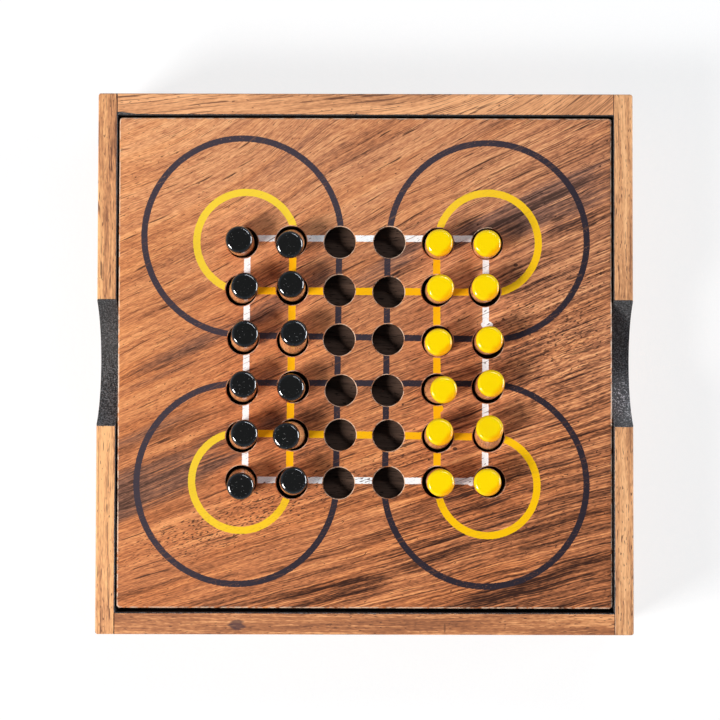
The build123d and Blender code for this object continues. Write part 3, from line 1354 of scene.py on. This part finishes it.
@dataclass
class Peg:
    """One dipped peg: a dowel with an eased foot, whose rounded top has been dipped in paint.

    Attributes:
        node: The CAD node that it stands for, and the body that it rides on.
        slot: The record's material slot. It is not used.
        dowel: Material of the bare dowel.
        dip: Material of the paint.
        paint_depth: How far down the side the paint reaches, in millimetres.
        depth_spread: How far that differs from peg to peg, to either side.
        paint_wave: How far the paint's edge strays from its depth.
        skin: Thickness of the paint on the side.
        round_top: Radius of the paint's shoulder.
        top_dip: How far the paint has sunk at the middle of the top.
        eased_foot: Width of the bevel round the foot.
        segments: Points round the peg.
        shoulder_steps: Steps round the paint's shoulder.
        bare_rings: How many rings of points lie below the paint.
    """

    node: str
    slot: str
    dowel: bpy.types.Material
    dip: bpy.types.Material
    paint_depth: float = 1.75
    depth_spread: float = 0.12
    paint_wave: float = 0.18
    skin: float = 0.05
    round_top: float = 1.3
    top_dip: float = 0.05
    eased_foot: float = 0.4
    segments: int = 72
    shoulder_steps: int = 10
    bare_rings: int = 7

    def build(self) -> bpy.types.Object:
        """Builds the peg, stands it where its CAD node stands and hides that node.

        Returns:
            The peg's object.
        """
        stand = Standing.of_node(self.node)
        piece = bpy.data.objects.new(self.node.replace("peg", "dipped_peg"), self._mesh(stand))
        bpy.context.scene.collection.objects.link(piece)
        turn = Vector((0.0, 0.0, 1.0)).rotation_difference(stand.axis).to_matrix().to_4x4()
        piece.matrix_world = Matrix.Translation(stand.foot) @ turn
        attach(piece, self.node)
        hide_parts(self.node)
        return piece

    def _profile(self, radius: float, length: float, edge: float) -> list[Pair]:
        """Radius and height of each ring at one side of the peg, in millimetres.

        Args:
            radius: Radius of the painted part.
            length: Length of the peg.
            edge: Height of the paint's edge on this side.

        Returns:
            The rings from the foot to the top.
        """
        # The bare dowel up to the paint's edge, the paint's lip, its shoulder, and its flat top
        bare = radius - self.skin
        rings = [(bare - self.eased_foot, 0.0), (bare - 0.1, self.eased_foot * 0.75)]
        rings += [(bare, self.eased_foot + 0.2), (bare, length * 0.3), (bare, length * 0.6)]
        rings += [(bare, edge - 0.5), (bare, edge - 0.06), (bare, edge)]
        rings += [(radius - 0.01, edge + 0.03), (radius, edge + 0.12), (radius, edge + 0.22)]
        for step in range(self.shoulder_steps + 1):
            angle = math.pi / 2 * step / self.shoulder_steps
            out = radius - self.round_top * (1 - math.cos(angle))
            up = length - self.round_top * (1 - math.sin(angle))
            rings.append((out, up))
        flat = radius - self.round_top
        rings += [(flat * share, length - self._dip(share)) for share in (0.86, 0.66, 0.4, 0.18)]
        return rings

    def _dip(self, share: float) -> float:
        """How far the paint has sunk at this share of the top's flat radius, in millimetres."""
        return self.top_dip * (1 - share) ** 0.5

    def _mesh(self, stand: Standing) -> bpy.types.Mesh:
        """Turns the profile round the peg's own axis.

        Args:
            stand: How the peg stands.

        Returns:
            The peg's mesh.
        """
        chance = random.Random(self.node)
        phases = [chance.uniform(0, 2 * math.pi) for _ in range(3)]
        depth = self.paint_depth + chance.uniform(-self.depth_spread, self.depth_spread)
        radius = stand.radius / MILLIMETRE
        length = stand.length / MILLIMETRE
        columns = []
        for segment in range(self.segments):
            angle = 2 * math.pi * segment / self.segments
            wave = math.sin(angle + phases[0]) + 0.5 * math.sin(2 * angle + phases[1])
            wave += 0.25 * math.sin(5 * angle + phases[2])
            edge = length - depth + self.paint_wave * wave / 1.75
            columns.append([(angle, r, h) for r, h in self._profile(radius, length, edge)])
        return self._lathe(columns, length)

    def _lathe(self, columns: list[list[Point]], length: float) -> bpy.types.Mesh:
        """Joins columns of rings into a closed, smooth mesh with a bare and a painted part.

        Args:
            columns: For each side of the peg, the angle, radius and height of each ring.
            length: The peg's length in millimetres.

        Returns:
            The mesh.
        """
        builder = bmesh.new()
        rows = []
        for ring in range(len(columns[0])):
            row = []
            for angle, radius, height in (column[ring] for column in columns):
                point = (radius * math.cos(angle), radius * math.sin(angle), height)
                row.append(builder.verts.new([c * MILLIMETRE for c in point]))
            rows.append(row)
        count = len(columns)
        for ring, (low, high) in enumerate(zip(rows, rows[1:])):
            for i in range(count):
                j = (i + 1) % count
                face = builder.faces.new((low[i], low[j], high[j], high[i]))
                face.material_index = 1 if ring >= self.bare_rings else 0
                face.smooth = True
        self._cap(builder, rows[0], 0.0, 0, True)
        self._cap(builder, rows[-1], length - self._dip(0.0), 1, False)
        mesh = bpy.data.meshes.new(self.node.replace("peg", "dipped_peg"))
        builder.to_mesh(mesh)
        builder.free()
        mesh.materials.append(self.dowel)
        mesh.materials.append(self.dip)
        return mesh

    def _cap(
        self,
        builder: bmesh.types.BMesh,
        row: list[bmesh.types.BMVert],
        height: float,
        slot: int,
        under: bool,
    ) -> None:
        """Closes a ring with a fan of triangles round its middle.

        Args:
            builder: The mesh being built.
            row: The ring's points.
            height: Height of the fan's middle, in millimetres.
            slot: Material slot of the triangles.
            under: Whether the fan faces down.
        """
        middle = builder.verts.new((0.0, 0.0, height * MILLIMETRE))
        for i, first in enumerate(row):
            second = row[(i + 1) % len(row)]
            corners = (middle, second, first) if under else (middle, first, second)
            face = builder.faces.new(corners)
            face.material_index = slot
            face.smooth = not under


@dataclass
class PegSet:
    """All pegs of one colour.

    Attributes:
        colour: The colour, as it stands in the CAD nodes' names.
        dip: Their paint.
        dowel: Material of the bare dowel, which both colours share.
    """

    colour: str
    dip: DipFinish
    dowel: bpy.types.Material

    def build(self) -> None:
        """Builds each peg of this colour that the frame has."""
        nodes = sorted(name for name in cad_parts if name.startswith(f"{self.colour}_peg_"))
        length = Standing.of_node(nodes[0]).length / MILLIMETRE
        paint = self.dip.material(length)
        for node in nodes:
            piece = Peg(node, f"peg_{self.colour}", self.dowel, paint).build()
            log.info("%s: %d faces", piece.name, len(piece.data.polygons))


def dress(node: str, material: bpy.types.Material) -> None:
    """Gives a CAD node its finish.

    Args:
        node: The node's name.
        material: The finish.
    """
    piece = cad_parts[node]
    for slot in piece.material_slots:
        slot.material = material
    log.info("%s: %s", node, material.name)


@dataclass
class Box:
    """The tray: four walls, the floor panel in their foot and the two cleats under the board.

    Attributes:
        sizes: Sizes of the box and board.
        left: The left wall's board.
        right: The right wall's board.
        back: The back wall's board.
        front: The front wall's board.
    """

    sizes: Sizes
    left: Hardwood = Hardwood(
        "wall_left_wood",
        Run.DEPTH,
        tone(250, 188, 128),
        tone(213, 148, 100),
        tone(142, 92, 64),
        darkening=0.0022,
        pores=Pores(0.5, 2.4, 0.73),
        dashes=Dashes(0.015, 0.9, 0.042, 0.14, 0.50),
        seed=10.0,
    )
    right: Hardwood = Hardwood(
        "wall_right_wood",
        Run.DEPTH,
        tone(246, 188, 134),
        tone(214, 153, 105),
        tone(144, 96, 66),
        pores=Pores(0.5, 2.4, 0.72),
        dashes=Dashes(0.02, 0.6, 0.03, 0.2, 0.56),
        seed=30.0,
    )
    back: Hardwood = Hardwood(
        "wall_back_wood",
        Run.WIDTH,
        tone(250, 184, 130),
        tone(220, 154, 106),
        tone(158, 104, 70),
        slope=0.10,
        curl=0.010,
        curl_from=5.0,
        base=0.40,
        darkening=0.0006,
        bands=0.8,
        pores=Pores(0.6, 2.6, 0.78),
        dashes=Dashes(0.009, 0.8, 0.050, 0.09, 0.46),
        seed=50.0,
    )
    front: Hardwood = Hardwood(
        "wall_front_wood",
        Run.WIDTH,
        tone(240, 170, 114),
        tone(184, 118, 76),
        tone(124, 76, 52),
        base=0.52,
        silver=0.62,
        pores=Pores(0.6, 2.4, 0.73),
        dashes=Dashes(0.02, 0.6, 0.03, 0.3, 0.60),
        seed=70.0,
    )

    def build(self) -> None:
        """Dresses the walls, the floor panel and the cleats."""
        dress("wall_left", WallFinish(self.left, self.sizes).material())
        # The right wall's scoop gets a paler, speckled patch: painted sheen and glints.
        right = WallFinish(self.right, self.sizes, painted_glints=(88.0, -12.0))
        dress("wall_right", right.material())
        back = WallFinish(self.back, self.sizes, spill=(-82.5, -76.5))
        dress("wall_back", back.material())
        front = WallFinish(self.front, self.sizes, smudge=(-42.6, -87.6), nick=(26.8, -88.5))
        dress("wall_front", front.material())
        _, floor_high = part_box("floor_panel")
        painted_above = floor_high.z / MILLIMETRE - 0.2
        dress("floor_panel", HiddenWoodFinish("floor_wood_plain", painted_above).material())
        cleat = HiddenWoodFinish("cleat_wood_painted", 0.0).material()
        dress("cleat_front", cleat)
        dress("cleat_back", cleat)


@dataclass
class Board:
    """The playing board: the drilled panel and the dark backing glued under it."""

    sizes: Sizes

    def build(self) -> None:
        """Dresses the panel and the backing."""
        dress("board_panel", BoardFinish(self.sizes).material())
        dress("board_backing", BackingFinish().material())


@dataclass(frozen=True)
class Lamp:
    """A soft rectangular lamp that faces the box.

    Attributes:
        name: Its name.
        azimuth: Compass angle from +X round to +Y, in degrees.
        elevation: Angle over the table, in degrees.
        size: Width and height in metres.
        power: Power in watts.
        colour: Light colour.
        distance: Distance from the box in metres.
    """

    name: str
    azimuth: float
    elevation: float
    size: Pair
    power: float
    colour: Colour
    distance: float = 1.5

    def build(self) -> None:
        """Hangs the lamp in its place."""
        light = bpy.data.lights.new(self.name, "AREA")
        light.shape = "RECTANGLE"
        light.size, light.size_y = self.size
        light.energy = self.power
        light.color = self.colour[:3]
        turn, climb = math.radians(self.azimuth), math.radians(self.elevation)
        level = math.cos(climb)
        way = Vector((math.cos(turn) * level, math.sin(turn) * level, math.sin(climb)))
        holder = bpy.data.objects.new(self.name, light)
        holder.location = way * self.distance
        holder.rotation_euler = way.to_track_quat("Z", "Y").to_euler()
        bpy.context.scene.collection.objects.link(holder)


@dataclass
class Studio:
    """Pale table, soft lamps and the camera over the box.

    Attributes:
        lamps: The lamps.
        room: Tones of the room light, from the horizon to overhead.
        table_size: Side of the table in metres.
        table_glow: How far the camera sees the table as white.
        camera_height: Height of the camera in metres.
        camera_place: Where it stands over the table.
        aim: The point that it looks at.
        roll: How far it is turned, in degrees.
        lens: Its focal length in millimetres.
    """

    lamps: tuple[Lamp, ...] = (
        Lamp("key_lamp", 208.0, 42.0, (0.42, 0.42), 24.6, tone(255, 253, 250)),
        Lamp("side_lamp", 5.0, 13.0, (0.90, 0.40), 16.0, tone(246, 250, 255)),
        Lamp("back_lamp", 60.0, 50.0, (0.66, 0.16), 4.0, tone(244, 249, 255)),
    )
    room: tuple[Stop, ...] = (
        (0.0, tone(98, 110, 124)),
        (0.70, tone(94, 106, 119)),
        (0.93, tone(58, 60, 63)),
    )
    table_size: float = 6.0
    table_glow: float = 0.77
    camera_height: float = 0.6876
    camera_place: Pair = (-0.00168, -0.02055)
    aim: Point = (-0.00168, 0.0010, 0.038)
    roll: float = 0.13
    lens: float = 96.9

    def build(self) -> None:
        """Builds the table, the lamps, the room light and the camera."""
        self._table()
        for lamp in self.lamps:
            lamp.build()
        self._room()
        self._camera()

    def _table(self) -> None:
        """A large pale table top, which cameras and mirrors see a little paler than lamps do."""
        builder = bmesh.new()
        bmesh.ops.create_grid(builder, x_segments=8, y_segments=8, size=self.table_size / 2)
        mesh = bpy.data.meshes.new("table_top")
        builder.to_mesh(mesh)
        builder.free()
        table = bpy.data.objects.new("table_top", mesh)
        bpy.context.scene.collection.objects.link(table)
        shader = MaterialTree("table_paper")
        tooth = shader.noise(0.25, 3.0, 0.6, 3.0)
        colour = shader.mix(tooth, tone(249, 250, 252), tone(253, 254, 255))
        paper = shader.add(
            "ShaderNodeBsdfDiffuse", None, {"Color": colour, "Normal": shader.bump(tooth, 0.15)}
        )
        white = {"Color": (1.0, 1.0, 1.0, 1.0), "Strength": 1.0}
        glow = shader.add("ShaderNodeEmission", None, white)
        path = shader.add("ShaderNodeLightPath")
        seen = Number(shader, path.outputs["Is Camera Ray"])
        seen = seen.math("MAXIMUM", Number(shader, path.outputs["Is Glossy Ray"]))
        seen = seen.math("MAXIMUM", Number(shader, path.outputs["Is Transmission Ray"]))
        both = {0: seen * self.table_glow, 1: paper.outputs[0], 2: glow.outputs[0]}
        mixed = shader.add("ShaderNodeMixShader", None, both)
        shader.add("ShaderNodeOutputMaterial", None, {"Surface": mixed.outputs[0]})
        mesh.materials.append(shader.owner)

    def _room(self) -> None:
        """Room light: pale round the horizon and dim overhead."""
        world = bpy.data.worlds.new("studio_room")
        bpy.context.scene.world = world
        shader = Shader(world)
        coordinates = shader.add("ShaderNodeTexCoord")
        _, _, height = shader.split(coordinates.outputs["Generated"])
        light = shader.add("ShaderNodeBackground", None, {"Color": shader.ramp(height, self.room)})
        shader.add("ShaderNodeOutputWorld", None, {"Surface": light.outputs[0]})

    def _camera(self) -> None:
        """A long lens almost straight over the box."""
        lens = bpy.data.cameras.new("camera")
        lens.sensor_width = 36.0
        lens.lens = self.lens
        lens.dof.use_dof = False
        camera = bpy.data.objects.new("camera", lens)
        place = Vector((*self.camera_place, self.camera_height))
        back = (place - Vector(self.aim)).normalized()
        lean = math.radians(self.roll)
        upward = Vector((-math.sin(lean), math.cos(lean), 0.0))
        right = upward.cross(back).normalized()
        upward = back.cross(right)
        turn = Matrix((right, upward, back)).transposed().to_4x4()
        camera.matrix_world = Matrix.Translation(place) @ turn
        bpy.context.scene.collection.objects.link(camera)
        bpy.context.scene.camera = camera
        bpy.context.scene.view_settings.view_transform = "Standard"


def main() -> None:
    """Builds the game's pieces in order, then the studio round it."""
    logging.basicConfig(level=logging.INFO, format="%(name)s: %(message)s")
    sizes = Sizes.from_frame()
    Box(sizes).build()
    Board(sizes).build()
    dowel = DowelFinish().material()
    black = DipFinish(
        "paint_black",
        thick=tone(20, 20, 19),
        thin=tone(21, 18, 17),
        sag=0.0,
        dust=tone(150, 148, 146),
        speckle_level=0.65,
        gloss=1.9,
    )
    amber = tone(250, 164, 0)
    yellow = DipFinish(
        "paint_yellow",
        thick=tone(255, 217, 0),
        thin=amber,
        sag=0.9,
        dust=amber,
        speckle_level=0.2,
        gloss=1.5,
    )
    PegSet("black", black, dowel).build()
    PegSet("yellow", yellow, dowel).build()
    Studio().build()


if __name__ == "__main__":
    main()
